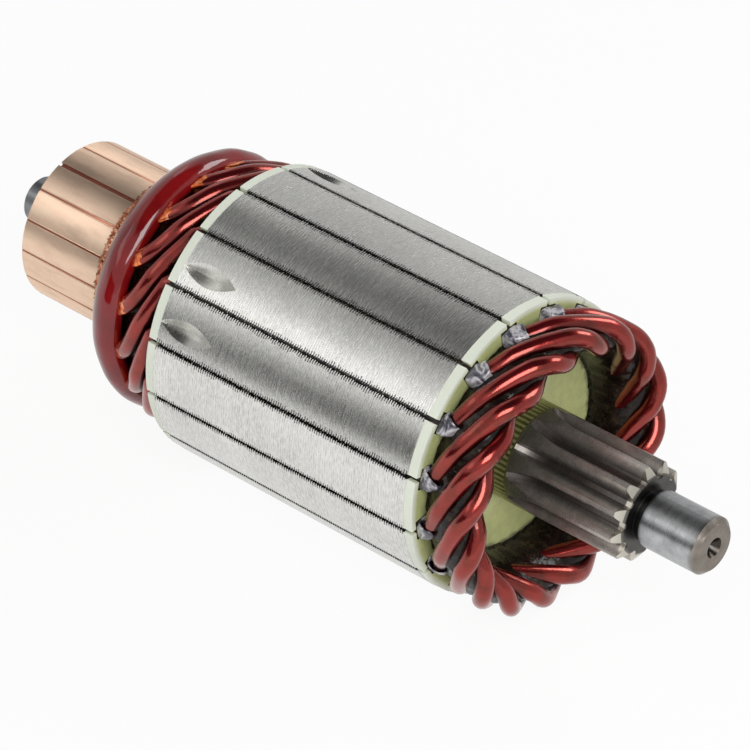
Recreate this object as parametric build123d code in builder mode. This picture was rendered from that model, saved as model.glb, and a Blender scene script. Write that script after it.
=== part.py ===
from build123d import *
import math
import os

# Armature of a geared starter motor: a wound lamination stack on a shaft that
# carries its commutator at one end and is cut as a pinion at the other.
# Lengths are millimetres. X runs along the shaft towards the pinion and Z is up.
# The origin lies on the shaft axis, at the middle of the lamination stack.
# Angles are degrees round the shaft, from +Y towards +Z.

# Lamination stack
core_radius = 28.3
core_length = 59.2
slot_count = 16
first_slot_angle = 74.3
slot_mouth_width = 0.9
notch_angles = (63.0, 133.3, 155.5)
notch_distance = 6.0
notch_depth = 1.9
notch_cutter_radius = 11.2
notch_half_angle = 48.5
cutter_overreach = 1.3  # a cutting profile's size to what it must clear

# End insulators
insulator_thickness = 1.9
insulator_inset = 0.1

# Hairpin winding
wire_share = 0.1166  # wire diameter to core radius
wire_sides = 8
slot_bridge = 1.15
layer_gap = 0.2
liner_thickness = 0.3
liner_overhang = 0.1
fit_clearance = 0.05
bend_room = 0.273
pole_span = 4

# Shaft
core_seat_depth = 0.4
knurl_depth = 0.35
knurl_teeth = 54
knurl_cover = 2.6
rear_shaft_radius = 8.0
commutator_seat_radius = 7.0
rear_journal_radius = 4.5
rear_journal_length = 10.4
rear_shoulder = 0.6
journal_chamfer = 0.4
drive_journal_radius = 5.4
drive_journal_length = 11.4
drive_journal_chamfer = 0.9
neck_radius = 4.8
neck_length = 1.6
neck_shoulder = 0.5
centre_mouth_radius = 1.9
centre_pilot_radius = 0.8
centre_depth = 5.0
centre_half_angle = 30.0

# Pinion
tooth_count = 11
first_tooth_angle = 88.1
tooth_base_radius = 7.3
tooth_pitch_height = 0.6
tooth_tip_height = 2.1
tooth_root_drop = 0.5
tooth_root_land = 0.9
tooth_thickness = 2.26
tooth_end_height = 0.4
tooth_chamfer_length = 1.4
pinion_length = 25.0
knurl_shown = 4.7
hob_radius = 12.0
hob_runout = 7.8
hob_turn = 50.0
hob_overlap = 0.6

# Commutator
track_length = 20.6
riser_wall = 3.4
riser_cover = 3.1
lip_height = 1.34
fork_height = 1.0
bar_gap = 0.75
bar_depth = 4.6
anchor_height = 1.8
anchor_lean = 1.2
solder_seat = 0.55
solder_end_room = 0.084
gap_undercut = 0.7
fork_clearance = 0.1

# Resin binding band and shaft sleeve
band_rear_cover = 0.7
band_front_cover = 0.8
band_lip = 0.7
sleeve_wall = 1.6

# Places and sizes that follow from those above
slot_pitch_angle = 360 / slot_count
insulator_radius = core_radius - insulator_inset
core_end = core_length / 2
insulator_end = core_end + insulator_thickness
wire_diameter = core_radius * wire_share
liner_gap = fit_clearance + liner_thickness + fit_clearance
outer_layer_radius = core_radius - slot_bridge - liner_gap - wire_diameter / 2
inner_layer_radius = outer_layer_radius - wire_diameter - layer_gap
slot_width = wire_diameter + 2 * liner_gap
slot_outer_radius = outer_layer_radius + wire_diameter / 2 + liner_gap
slot_inner_radius = inner_layer_radius - wire_diameter / 2 - liner_gap
liner_end = insulator_end + liner_overhang
bend_start = liner_end + bend_room * wire_diameter

# Bends of a hairpin. A station gives its distance past the bend's start, its lay
# round the shaft from the leg's own slot, and its lift above the leg's layer.
# Distance, lift, solder run and bend room are in wire diameters.
crown_outer = [(0, 0, 0), (0.424, 4.5, 0.061), (1.212, 15.5, 0.364), (2.545, 34.5, 0.394), (2.939, 41.5, 0.091)]
crown_inner = [(0, 0, 0), (0.424, 4.5, 0), (1.212, 15.5, 0.152), (2.545, 34.5, 0.333), (2.939, 41.5, 0.636)]
tail_outer = [(0, 0, 0), (0.273, 3.4, 0), (1.242, 22.5, -0.061), (1.939, 34, -0.273), (2.727, 41.3, -0.576),
              (3.515, 45, -0.939)]
tail_inner = [(0, 0, 0), (1.212, 22, -0.273), (2.242, 38.5, -0.515), (2.848, 45, -0.758)]
solder_run = 1.818
solder_drop = 1.424

# The commutator takes its place and its radii from the tips of the legs
solder_slope = math.atan2(solder_drop, solder_run)
solder_start_x = -(bend_start + tail_outer[-1][0] * wire_diameter)
solder_end_x = solder_start_x - solder_run * wire_diameter
solder_start_radius = outer_layer_radius + tail_outer[-1][2] * wire_diameter
outer_tip_radius = solder_start_radius - solder_drop * wire_diameter
inner_tip_radius = inner_layer_radius + (tail_inner[-1][2] - solder_drop) * wire_diameter
track_radius = outer_tip_radius - wire_diameter / 2
riser_lip_radius = track_radius + lip_height
riser_radius = outer_tip_radius + fork_height
fork_floor = inner_tip_radius - wire_diameter / 2 - solder_seat
fork_start = solder_end_x - wire_diameter / 2 * math.sin(solder_slope) - solder_end_room
riser_start = fork_start - riser_wall
riser_end = solder_end_x + riser_cover
commutator_rear = riser_start - track_length

# The teeth's circles are set from their base circle. The knurl is as high as the
# teeth, and the core sits below its crests
tooth_pitch_radius = tooth_base_radius + tooth_pitch_height
tooth_tip_radius = tooth_base_radius + tooth_tip_height
tooth_root_radius = tooth_base_radius - tooth_root_drop
tooth_end_radius = tooth_root_radius + tooth_end_height
knurl_radius = tooth_tip_radius
core_seat_radius = knurl_radius - core_seat_depth

# The pinion starts where the knurl that the front of the stack shows ends
pinion_start = insulator_end + knurl_shown
tooth_full_depth = pinion_start + hob_runout
tooth_end = pinion_start + pinion_length
tooth_chamfer_start = tooth_end - tooth_chamfer_length


# Placing

def section_plane(x, angle=0.0):
    """Plane across the shaft at x, with its own X pointing out at the angle."""
    turn = math.radians(angle)
    return Plane(origin=(x, 0, 0), x_dir=(0, math.cos(turn), math.sin(turn)), z_dir=(1, 0, 0))


def radial_plane(angle):
    """Plane through the shaft axis, with X along the shaft and Y pointing out at the angle."""
    turn = math.radians(angle)
    return Plane(origin=(0, 0, 0), x_dir=(1, 0, 0), z_dir=(0, -math.sin(turn), math.cos(turn)))


def polar_point(radius, angle):
    """Point of a section plane at a radius and an angle from its X."""
    turn = math.radians(angle)
    return (radius * math.cos(turn), radius * math.sin(turn))


def station(x, radius, angle):
    """Point in space at a distance along the shaft, a radius and an angle."""
    turn = math.radians(angle)
    return (x, radius * math.cos(turn), radius * math.sin(turn))


def cross_axis(x, radius, angle):
    """Axis that crosses the shaft's direction at a right angle, at a radius and an angle."""
    turn = math.radians(angle)
    return Axis(origin=station(x, radius, angle), direction=(0, math.sin(turn), -math.cos(turn)))


def save(piece, name):
    """Name a finished piece and write it."""
    piece.label = name
    export_step(piece, f"parts/{name}.step")


def save_round(piece, name):
    """Write one copy of a piece for each slot, turned round the shaft."""
    for index in range(slot_count):
        copy = piece.rotate(Axis.X, index * slot_pitch_angle)
        save(copy, f"{name}_{index + 1:02d}")


# Lamination stack and end insulators
slot_cut_radius = core_radius * cutter_overreach
slot_outline = [
    (slot_inner_radius, -slot_width / 2),
    (slot_outer_radius, -slot_width / 2),
    (slot_outer_radius, -slot_mouth_width / 2),
    (slot_cut_radius, -slot_mouth_width / 2),
    (slot_cut_radius, slot_mouth_width / 2),
    (slot_outer_radius, slot_mouth_width / 2),
    (slot_outer_radius, slot_width / 2),
    (slot_inner_radius, slot_width / 2),
]


def slotted_disc(start, thickness, radius):
    """Disc with the winding slots and the shaft bore, from start towards the pinion."""
    with BuildSketch(section_plane(start)) as disc:
        Circle(radius)
        Circle(knurl_radius, mode=Mode.SUBTRACT)
        with PolarLocations(0, slot_count, start_angle=first_slot_angle):
            Polygon(*slot_outline, align=None, mode=Mode.SUBTRACT)
    extrude(disc.sketch, amount=thickness)


notch_x = -core_end + notch_distance
notch_half_width = notch_depth * math.tan(math.radians(notch_half_angle)) * cutter_overreach
notch_rim = notch_cutter_radius - notch_half_width / math.tan(math.radians(notch_half_angle))
notch_axis_radius = core_radius - notch_depth + notch_cutter_radius

with BuildPart() as lamination_core:
    slotted_disc(-core_end, core_length, core_radius)
    for notch_angle in notch_angles:
        with BuildSketch(section_plane(notch_x, notch_angle)):
            Polygon(
                (notch_axis_radius - notch_cutter_radius, 0),
                (notch_axis_radius - notch_rim, notch_half_width),
                (notch_axis_radius, notch_half_width),
                (notch_axis_radius, -notch_half_width),
                (notch_axis_radius - notch_rim, -notch_half_width),
                align=None,
            )
        revolve(axis=cross_axis(notch_x, notch_axis_radius, notch_angle), mode=Mode.SUBTRACT)

with BuildPart() as front_insulator:
    slotted_disc(core_end, insulator_thickness, insulator_radius)

with BuildPart() as rear_insulator:
    slotted_disc(-insulator_end, insulator_thickness, insulator_radius)

# Slot liner, a sleeve of film round the two conductors of one slot
with BuildPart() as slot_liner:
    liner_height = slot_outer_radius - slot_inner_radius - 2 * fit_clearance
    liner_width = slot_width - 2 * fit_clearance
    with BuildSketch(section_plane(-liner_end, first_slot_angle)):
        with Locations(((slot_inner_radius + slot_outer_radius) / 2, 0)):
            Rectangle(liner_height, liner_width)
            Rectangle(
                liner_height - 2 * liner_thickness,
                liner_width - 2 * liner_thickness,
                mode=Mode.SUBTRACT,
            )
    extrude(amount=2 * liner_end)

# Hairpin: an outer leg, the crown and an inner leg, bent from one bar of wire

def leg(stations, sign, side, radius, slot_angle):
    """Stations of one bent leg in space: side is the end of the stack, sign the way it lies."""
    return [
        station(
            side * (bend_start + reach * wire_diameter),
            radius + lift * wire_diameter,
            slot_angle + sign * lay,
        )
        for reach, lay, lift in stations
    ]


def solder_end(stations, sign, radius, slot_angle):
    """Tip of a leg, where it has run down into its commutator bar."""
    reach, lay, lift = stations[-1]
    tip_x = -(bend_start + (reach + solder_run) * wire_diameter)
    return station(tip_x, radius + (lift - solder_drop) * wire_diameter, slot_angle + sign * lay)


return_angle = first_slot_angle - pole_span * slot_pitch_angle
hairpin_route = (
    [solder_end(tail_outer, 1, outer_layer_radius, first_slot_angle)]
    + leg(tail_outer, 1, -1, outer_layer_radius, first_slot_angle)[::-1]
    + leg(crown_outer, -1, 1, outer_layer_radius, first_slot_angle)
    + leg(crown_inner, 1, 1, inner_layer_radius, return_angle)[::-1]
    + leg(tail_inner, -1, -1, inner_layer_radius, return_angle)
    + [solder_end(tail_inner, -1, inner_layer_radius, return_angle)]
)

with BuildPart() as hairpin:
    with BuildLine() as hairpin_path:
        Polyline(*hairpin_route)
    radial = Vector(*station(0, 1, first_slot_angle + tail_outer[-1][1]))
    with BuildSketch(Plane(origin=hairpin_path.line @ 0, x_dir=radial, z_dir=hairpin_path.line % 0)):
        RegularPolygon(wire_diameter / 2, wire_sides, rotation=180 / wire_sides)
    sweep(transition=Transition.RIGHT)

# Shaft with knurl, pinion and bearing journals
knurl_valley_radius = knurl_radius - knurl_depth
knurl_start = -core_end + knurl_cover
rear_shoulder_x = commutator_rear - rear_shoulder
rear_end = rear_shoulder_x - rear_journal_length
drive_journal_start = tooth_end + neck_length
drive_end = drive_journal_start + drive_journal_length + drive_journal_chamfer

with BuildPart() as tooth_gap:
    half_pitch = 180 / tooth_count

    def involute(radius):
        """Degrees that an involute has swept where it meets this radius."""
        pressure = math.acos(tooth_base_radius / radius)
        return math.degrees(math.tan(pressure) - pressure)

    def flank(radius, side):
        """Point of the gap's flank at a radius."""
        tooth_half = math.degrees(tooth_thickness / 2 / tooth_pitch_radius)
        tooth_half += involute(tooth_pitch_radius) - involute(radius)
        return polar_point(radius, side * (half_pitch - tooth_half))

    mouth_radius = tooth_tip_radius + hob_overlap
    middle_radius = (tooth_base_radius + mouth_radius) / 2
    gap_angle = first_tooth_angle + half_pitch
    with BuildSketch(section_plane(tooth_full_depth, gap_angle)) as gap_profile:
        with BuildLine():
            ThreePointArc(flank(mouth_radius, 1), flank(middle_radius, 1), flank(tooth_base_radius, 1))
            Polyline(
                flank(tooth_base_radius, 1),
                (tooth_root_radius, tooth_root_land / 2),
                (tooth_root_radius, -tooth_root_land / 2),
                flank(tooth_base_radius, -1),
            )
            ThreePointArc(flank(tooth_base_radius, -1), flank(middle_radius, -1), flank(mouth_radius, -1))
            Line(flank(mouth_radius, -1), flank(mouth_radius, 1))
        make_face()
    extrude(amount=tooth_end + hob_overlap - tooth_full_depth)
    revolve(
        gap_profile.sketch,
        axis=cross_axis(tooth_full_depth, tooth_root_radius + hob_radius, gap_angle),
        revolution_arc=hob_turn,
    )


def centre_hole(end, inward):
    """Lathe centre drilled into one end of the shaft; inward is the direction of depth."""
    cone_depth = (centre_mouth_radius - centre_pilot_radius) / math.tan(math.radians(centre_half_angle))
    with BuildSketch(Plane.XZ) as hole:
        Polygon(
            (end, 0),
            (end, centre_mouth_radius),
            (end + inward * cone_depth, centre_pilot_radius),
            (end + inward * centre_depth, centre_pilot_radius),
            (end + inward * centre_depth, 0),
            align=None,
        )
    revolve(hole.sketch, axis=Axis.X, mode=Mode.SUBTRACT)


with BuildPart() as armature_shaft:
    with BuildSketch(Plane.XZ):
        Polygon(
            (rear_end, 0),
            (rear_end, rear_journal_radius - journal_chamfer),
            (rear_end + journal_chamfer, rear_journal_radius),
            (rear_shoulder_x, rear_journal_radius),
            (rear_shoulder_x, commutator_seat_radius),
            (riser_end, commutator_seat_radius),
            (riser_end, rear_shaft_radius),
            (-insulator_end, rear_shaft_radius),
            (-insulator_end, core_seat_radius),
            (pinion_start, core_seat_radius),
            (pinion_start, tooth_tip_radius),
            (tooth_chamfer_start, tooth_tip_radius),
            (tooth_end, tooth_end_radius),
            (tooth_end, neck_radius),
            (drive_journal_start - neck_shoulder, neck_radius),
            (drive_journal_start, drive_journal_radius),
            (drive_journal_start + drive_journal_length, drive_journal_radius),
            (drive_end, drive_journal_radius - drive_journal_chamfer),
            (drive_end, 0),
            align=None,
        )
    revolve(axis=Axis.X)
    knurl_points = []
    for index in range(knurl_teeth):
        knurl_points.append(polar_point(knurl_radius, 360 * index / knurl_teeth))
        knurl_points.append(polar_point(knurl_valley_radius, 360 * (index + 0.5) / knurl_teeth))
    with BuildSketch(section_plane(knurl_start)):
        Polygon(*knurl_points, align=None)
    extrude(amount=pinion_start - knurl_start)
    gaps = [tooth_gap.part.rotate(Axis.X, 360 * index / tooth_count) for index in range(tooth_count)]
    add(gaps, mode=Mode.SUBTRACT)
    centre_hole(rear_end, 1)
    centre_hole(drive_end, -1)

# Commutator bar with its riser, whose fork takes an outer and an inner leg
bar_inner_radius = track_radius - bar_depth
anchor_radius = bar_inner_radius + anchor_height
fork_width = wire_diameter + 2 * fork_clearance
wedge_reach = riser_radius * cutter_overreach
wedge_apex = bar_gap / 2 / math.sin(math.radians(slot_pitch_angle / 2))

# Commutator bar before its fork is cut: a drawn wedge of copper with an anchor
# groove under its rear end, turned to the track, lip and riser
with BuildPart() as bar_blank:
    with BuildSketch(radial_plane(first_slot_angle)):
        Polygon(
            (commutator_rear, wedge_reach),
            (riser_end, wedge_reach),
            (riser_end, bar_inner_radius),
            (commutator_rear + anchor_lean, bar_inner_radius),
            (commutator_rear + 2 * anchor_lean, anchor_radius),
            (commutator_rear, anchor_radius),
            align=None,
        )
    extrude(amount=wedge_reach, both=True)
    wedge_side = polar_point(wedge_reach, slot_pitch_angle / 2)
    with BuildSketch(section_plane(commutator_rear, first_slot_angle)):
        Polygon(
            (wedge_apex, 0),
            (wedge_apex + wedge_side[0], wedge_side[1]),
            (wedge_apex + wedge_side[0], -wedge_side[1]),
            align=None,
        )
    extrude(amount=riser_end - commutator_rear, mode=Mode.INTERSECT)
    with BuildSketch(Plane.XZ):
        Polygon(
            (commutator_rear, 0),
            (commutator_rear, track_radius),
            (riser_start, track_radius),
            (riser_start, riser_lip_radius),
            (fork_start, riser_lip_radius),
            (fork_start, riser_radius),
            (riser_end, riser_radius),
            (riser_end, 0),
            align=None,
        )
    revolve(axis=Axis.X, mode=Mode.INTERSECT)

with BuildPart() as commutator_bar:
    add(bar_blank.part)
    with BuildSketch(section_plane(fork_start, first_slot_angle)):
        with Locations((fork_floor, 0)):
            Rectangle(wedge_reach, fork_width, align=(Align.MIN, Align.CENTER))
    extrude(amount=riser_end - fork_start, mode=Mode.SUBTRACT)

with BuildPart() as commutator_moulding:
    with BuildSketch(Plane.XZ):
        Polygon(
            (commutator_rear, commutator_seat_radius),
            (commutator_rear, track_radius - gap_undercut),
            (riser_start, track_radius - gap_undercut),
            (riser_start, riser_lip_radius - gap_undercut),
            (riser_end, riser_lip_radius - gap_undercut),
            (riser_end, commutator_seat_radius),
            align=None,
        )
    revolve(axis=Axis.X)
    blanks = [bar_blank.part.rotate(Axis.X, index * slot_pitch_angle) for index in range(slot_count)]
    add(blanks, mode=Mode.SUBTRACT)

# Insulating sleeve between the commutator and the stack
with BuildPart() as shaft_sleeve:
    with BuildSketch(section_plane(riser_end)):
        Circle(rear_shaft_radius + sleeve_wall)
        Circle(rear_shaft_radius, mode=Mode.SUBTRACT)
    extrude(amount=-insulator_end - riser_end)

# Resin band cast over the ends of the outer legs, behind the risers' lips.
# Its underside follows the legs' slope down to the commutator.
seat_rise = (wire_diameter / 2 + fit_clearance) / math.cos(solder_slope)


def seat_radius(x):
    """Radius of the legs' outer side, where they run down into the risers."""
    return solder_start_radius + seat_rise - (solder_start_x - x) * math.tan(solder_slope)


band_front = solder_start_x + band_front_cover
band_rear = fork_start - band_rear_cover
band_foot = riser_lip_radius + fit_clearance
band_radius = seat_radius(band_front) + band_lip
band_step = fork_start - fit_clearance

# Rounded back of the band, in shares of its length and of its height
band_back = [(0.12, 0.5), (0.44, 0.9), (0.7, 1.0)]
band_points = [
    (band_rear + along * (band_front - band_rear), band_foot + up * (band_radius - band_foot))
    for along, up in band_back
]

with BuildPart() as binding_band:
    with BuildSketch(Plane.XZ):
        Polygon(
            (band_rear, band_foot),
            *band_points,
            (band_front, seat_radius(band_front)),
            (band_step, seat_radius(fork_start)),
            (band_step, band_foot),
            align=None,
        )
    revolve(axis=Axis.X)

os.makedirs("parts", exist_ok=True)
save(lamination_core.part, "lamination_core")
save(front_insulator.part, "front_insulator")
save(rear_insulator.part, "rear_insulator")
save_round(slot_liner.part, "slot_liner")
save_round(hairpin.part, "hairpin")
save(armature_shaft.part, "armature_shaft")
save_round(commutator_bar.part, "commutator_bar")
save(commutator_moulding.part, "commutator_moulding")
save(shaft_sleeve.part, "shaft_sleeve")
save(binding_band.part, "binding_band")
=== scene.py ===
import math
import random

import bmesh
import bpy
from bpy.props import FloatProperty, FloatVectorProperty, IntProperty, PointerProperty
from mathutils import Matrix, Vector, noise


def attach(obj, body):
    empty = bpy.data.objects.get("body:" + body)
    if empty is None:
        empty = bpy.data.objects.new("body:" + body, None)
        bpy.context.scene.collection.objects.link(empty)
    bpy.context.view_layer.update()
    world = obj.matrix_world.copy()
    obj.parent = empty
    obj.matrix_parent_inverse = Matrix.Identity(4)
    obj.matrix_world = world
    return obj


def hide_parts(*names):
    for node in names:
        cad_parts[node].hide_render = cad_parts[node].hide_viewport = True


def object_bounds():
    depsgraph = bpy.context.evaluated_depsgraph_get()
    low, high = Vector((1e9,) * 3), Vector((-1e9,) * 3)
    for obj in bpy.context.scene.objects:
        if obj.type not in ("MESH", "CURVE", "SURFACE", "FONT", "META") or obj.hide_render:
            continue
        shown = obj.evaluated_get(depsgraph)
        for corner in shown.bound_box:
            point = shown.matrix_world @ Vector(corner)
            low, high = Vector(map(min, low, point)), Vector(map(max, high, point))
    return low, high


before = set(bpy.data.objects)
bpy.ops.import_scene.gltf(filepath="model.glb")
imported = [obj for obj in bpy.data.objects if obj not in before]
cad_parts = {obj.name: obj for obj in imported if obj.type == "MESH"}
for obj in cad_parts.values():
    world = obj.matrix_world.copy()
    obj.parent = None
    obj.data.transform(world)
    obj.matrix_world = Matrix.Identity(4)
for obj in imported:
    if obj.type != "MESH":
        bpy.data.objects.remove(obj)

bl_info = {
    "name": "Motor armature",
    "version": (1, 0, 0),
    "blender": (4, 5, 0),
    "location": "View3D > Sidebar > Rotor",
    "description": "Dresses the solids of a wound motor armature",
    "category": "Object",
}

CAD_BOX = [list(corner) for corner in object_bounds()]

# Millimetres in metres. X runs along the shaft towards the pinion, Z is up, and
# angles are degrees round the shaft, from +Y towards +Z.
MM = 0.001

# The stack, its slots and the end boards, as in the solids
CORE_RADIUS = 28.3
CORE_END = 29.6
SLOTS = 16
SLOT_PITCH = 360 / SLOTS
FIRST_SLOT = 74.3
MOUTH_WIDTH = 0.9
BOARD_END = 31.5

# The hairpins' route, as in the solids: reach past the bend's start, lay round
# the shaft from the leg's own slot, and lift above the leg's layer
BEND_START = 32.5
OUTER_LAYER = 25.1
INNER_LAYER = 21.6
POLE_SPAN = 4
CROWN_OUTER = ((0.0, 0.0, 0.0), (1.4, 4.5, 0.2), (4.0, 15.5, 1.2), (8.0, 33.0, 1.4), (9.7, 41.0, 0.5))
CROWN_INNER = ((0.0, 0.0, 0.0), (1.4, 4.5, 0.0), (4.0, 15.5, 0.5), (8.0, 33.0, 1.0), (9.7, 41.0, 2.0))
TAIL_OUTER = ((0.0, 0.0, 0.0), (0.9, 3.4, 0.0), (4.1, 22.5, -0.2), (6.4, 34.0, -0.9), (9.0, 41.3, -1.9),
              (11.6, 45.0, -3.1))
TAIL_INNER = ((0.0, 0.0, 0.0), (4.0, 22.0, -0.9), (7.4, 38.5, -1.7), (9.4, 45.0, -2.5))
SOLDER_RUN = 6.0
SOLDER_DROP = 4.7
# From here to their solder ends the tails are scraped bare
TAILS_BARE_FROM = -41.2

# The commutator, as in the solids
TRACK_RADIUS = 15.65
TRACK_REAR = -75.2
RISER_START = -54.6
# The one gap between bars that the turning tool left open
OPEN_GAP = 1

# The photograph's camera: radians and millimetres, fitted to the object
CAMERA_AZIMUTH = 0.7266
CAMERA_TILT = 0.624
CAMERA_DISTANCE = 860.42
CAMERA_ACROSS = 1.4604
CAMERA_RISE = -0.2072
SENSOR_WIDTH = 36.0
CAMERA_LENS = SENSOR_WIDTH * 4829.77 / 750


def linear(code):
    """Linear red, green and blue of an sRGB hex colour."""
    parts = [int(code[i:i + 2], 16) / 255 for i in (1, 3, 5)]
    return tuple(c / 12.92 if c <= 0.04045 else ((c + 0.055) / 1.055) ** 2.4 for c in parts)


def rgba(code):
    """Linear colour of an sRGB hex code, with full alpha."""
    return (*linear(code), 1.0)


def shade(colour, factor):
    """A colour made lighter or darker, with full alpha."""
    return (*(min(1.0, part * factor) for part in colour[:3]), 1.0)


class RotorSizes(bpy.types.PropertyGroup):
    """Sizes of the details that the solids leave out."""

    wire_diameter: FloatProperty(
        name="Wire diameter", description="Diameter of the enamelled wire",
        default=3.3 * MM, min=2.0 * MM, max=3.6 * MM, unit="LENGTH")
    sheet_pitch: FloatProperty(
        name="Sheet pitch", description="Thickness of one lamination with its coating",
        default=0.52 * MM, min=0.3 * MM, max=1.0 * MM, unit="LENGTH")
    burr_reach: FloatProperty(
        name="Burr reach", description="How far a sheet's edge may stand into the mouth",
        default=0.36 * MM, min=0.0, max=0.45 * MM, unit="LENGTH")
    cuff_reach: FloatProperty(
        name="Cuff reach", description="How far the slot film stands past the end board",
        default=2.6 * MM, min=0.5 * MM, max=4.0 * MM, unit="LENGTH")
    varnish_swell: FloatProperty(
        name="Varnish swell", description="Height of the runs and drops in the varnish",
        default=0.35 * MM, min=0.0, max=0.8 * MM, unit="LENGTH")
    riser_burr: FloatProperty(
        name="Riser burr", description="Reach of the ragged copper edge on the risers",
        default=0.5 * MM, min=0.0, max=1.0 * MM, unit="LENGTH")
    seed: IntProperty(
        name="Seed", description="Start of the random draws for burrs and film",
        default=7, min=0)


class RotorColours(bpy.types.PropertyGroup):
    """Colours of the finishes, in linear values."""

    enamel: FloatVectorProperty(
        name="Enamel", description="Red enamel on the wire", subtype="COLOR",
        default=linear("#8e1522"), min=0.0, max=1.0)
    resin: FloatVectorProperty(
        name="Band resin", description="Dark red resin of the binding band", subtype="COLOR",
        default=linear("#7d1013"), min=0.0, max=1.0)
    board: FloatVectorProperty(
        name="End board", description="Epoxy glass board of the end insulators", subtype="COLOR",
        default=linear("#b9bf78"), min=0.0, max=1.0)
    copper: FloatVectorProperty(
        name="Copper", description="Turned copper of the commutator", subtype="COLOR",
        default=linear("#ffdfc4"), min=0.0, max=1.0)
    steel: FloatVectorProperty(
        name="Sheet steel", description="Ground edge of the laminations", subtype="COLOR",
        default=linear("#dcdbd6"), min=0.0, max=1.0)


def add(tree, kind, feeds=None, out=0, stops=None, **settings):
    """Add a node, set it, feed its sockets with links or values, and give back one output."""
    made = tree.nodes.new("ShaderNode" + kind)
    for key, value in settings.items():
        setattr(made, key, value)
    for key, value in (feeds or {}).items():
        if isinstance(value, bpy.types.NodeSocket):
            tree.links.new(value, made.inputs[key])
        else:
            made.inputs[key].default_value = value
    for index, (position, colour) in enumerate(stops or ()):
        elements = made.color_ramp.elements
        element = elements[index] if index < len(elements) else elements.new(position)
        element.position, element.color = position, colour
    return made if out is None else made.outputs[out]


def begin(name, **sockets):
    """Start a material with its shader's fixed values; gives both, the tree and the place in mm."""
    material = bpy.data.materials.new(name)
    material.use_nodes = True
    tree = material.node_tree
    shader = tree.nodes["Principled BSDF"]
    for key, value in sockets.items():
        shader.inputs[key.replace("_", " ")].default_value = value
    place = add(tree, "TexCoord", out="Object")
    place = add(tree, "VectorMath", {0: place, 1: (1 / MM,) * 3}, operation="MULTIPLY")
    return material, tree, shader, place


def surface(tree, shader, base, rough, height, strength, depth):
    """Give a finish its colour, its roughness as (pattern, least, most) and its relief in mm."""
    pattern, least, most = rough
    tree.links.new(base, shader.inputs["Base Color"])
    rough = add(tree, "MapRange", {"Value": pattern, "To Min": least, "To Max": most})
    tree.links.new(rough, shader.inputs["Roughness"])
    bump = add(tree, "Bump", {"Height": height, "Strength": strength, "Distance": depth * MM})
    tree.links.new(bump, shader.inputs["Normal"])
    return bump


def round_place(tree, place):
    """Distance along the shaft in mm, and angle in degrees and radius in mm round it."""
    parts = add(tree, "SeparateXYZ", {0: place}, out=None)
    turn = add(tree, "Math", {0: parts.outputs["Z"], 1: parts.outputs["Y"]}, operation="ARCTAN2")
    angle = add(tree, "Math", {0: turn, 1: math.degrees(1)}, operation="MULTIPLY")
    flat = add(tree, "CombineXYZ", {"Y": parts.outputs["Y"], "Z": parts.outputs["Z"]})
    radius = add(tree, "VectorMath", {0: flat}, out="Value", operation="LENGTH")
    return parts.outputs["X"], angle, radius


def wrapped(tree, x, angle, radius, along, around, inward=0.0):
    """Place for a pattern laid round the shaft at a radius: its size along and around, in mm."""
    return add(tree, "CombineXYZ", {
        "X": add(tree, "Math", {0: x, 1: along}, operation="DIVIDE"),
        "Y": add(tree, "Math", {0: angle, 1: math.radians(radius) / around}, operation="MULTIPLY"),
        "Z": inward})


def pitch_place(tree, angle, radius, start):
    """Number of the slot pitch that an angle lies in, counted from a start angle, and the mm
    round the shaft from that pitch's middle."""
    # Ten turns more keep the number above zero
    turned = add(tree, "Math", {0: angle, 1: 3600 - start}, operation="ADD")
    turned = add(tree, "Math", {0: turned, 1: SLOT_PITCH}, operation="DIVIDE")
    number = add(tree, "Math", {0: turned}, operation="FLOOR")
    middle = add(tree, "Math", {0: turned}, operation="FRACT")
    middle = add(tree, "Math", {0: middle, 1: 0.5}, operation="SUBTRACT")
    middle = add(tree, "Math", {0: middle, 1: math.radians(SLOT_PITCH) * radius}, operation="MULTIPLY")
    return number, middle


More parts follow.
